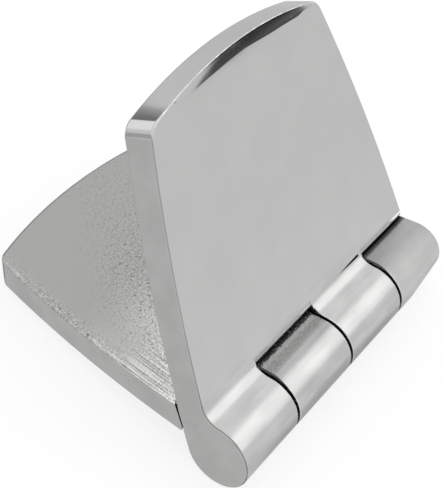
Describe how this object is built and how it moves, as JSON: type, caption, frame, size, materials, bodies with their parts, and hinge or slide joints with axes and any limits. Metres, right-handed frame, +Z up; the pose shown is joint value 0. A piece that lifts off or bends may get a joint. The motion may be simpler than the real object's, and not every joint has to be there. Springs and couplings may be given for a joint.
{
  "type": "stainless steel hinge",
  "caption": "Heavy cast hinge with two tapered undrilled leaves, interleaved knuckles and a hidden pin, polished outside and rough cast on its mounting faces.",
  "frame": {"origin": "on the floor under the middle of the hinge's box at rest, half-way along the pin", "axes": "+X along the pin from the front leaf's closed end to the pin's ground end, +Z up, +Y from the barrel out over the lying back leaf"},
  "size_m": [0.0799, 0.0799, 0.0712],
  "materials": {
    "back_leaf_steel": "polished barrel and outer face, ground edges, sand-cast inner face",
    "front_leaf_steel": "polished outer face and barrel, ground edges, sand-cast inner face",
    "pin_steel": "ground bright bar"
  },
  "bodies": {
    "back_leaf": {"back_leaf": "back_leaf_steel", "hinge_pin": "pin_steel"},
    "front_leaf": {"front_leaf": "front_leaf_steel"}
  },
  "joints": [
    {"name": "leaf_swing", "type": "hinge", "parent": "back_leaf", "child": "front_leaf", "pos_m": [0, -0.0324, 0.0076], "axis": [1, 0, 0], "range_deg": [0, 290]}
  ]
}
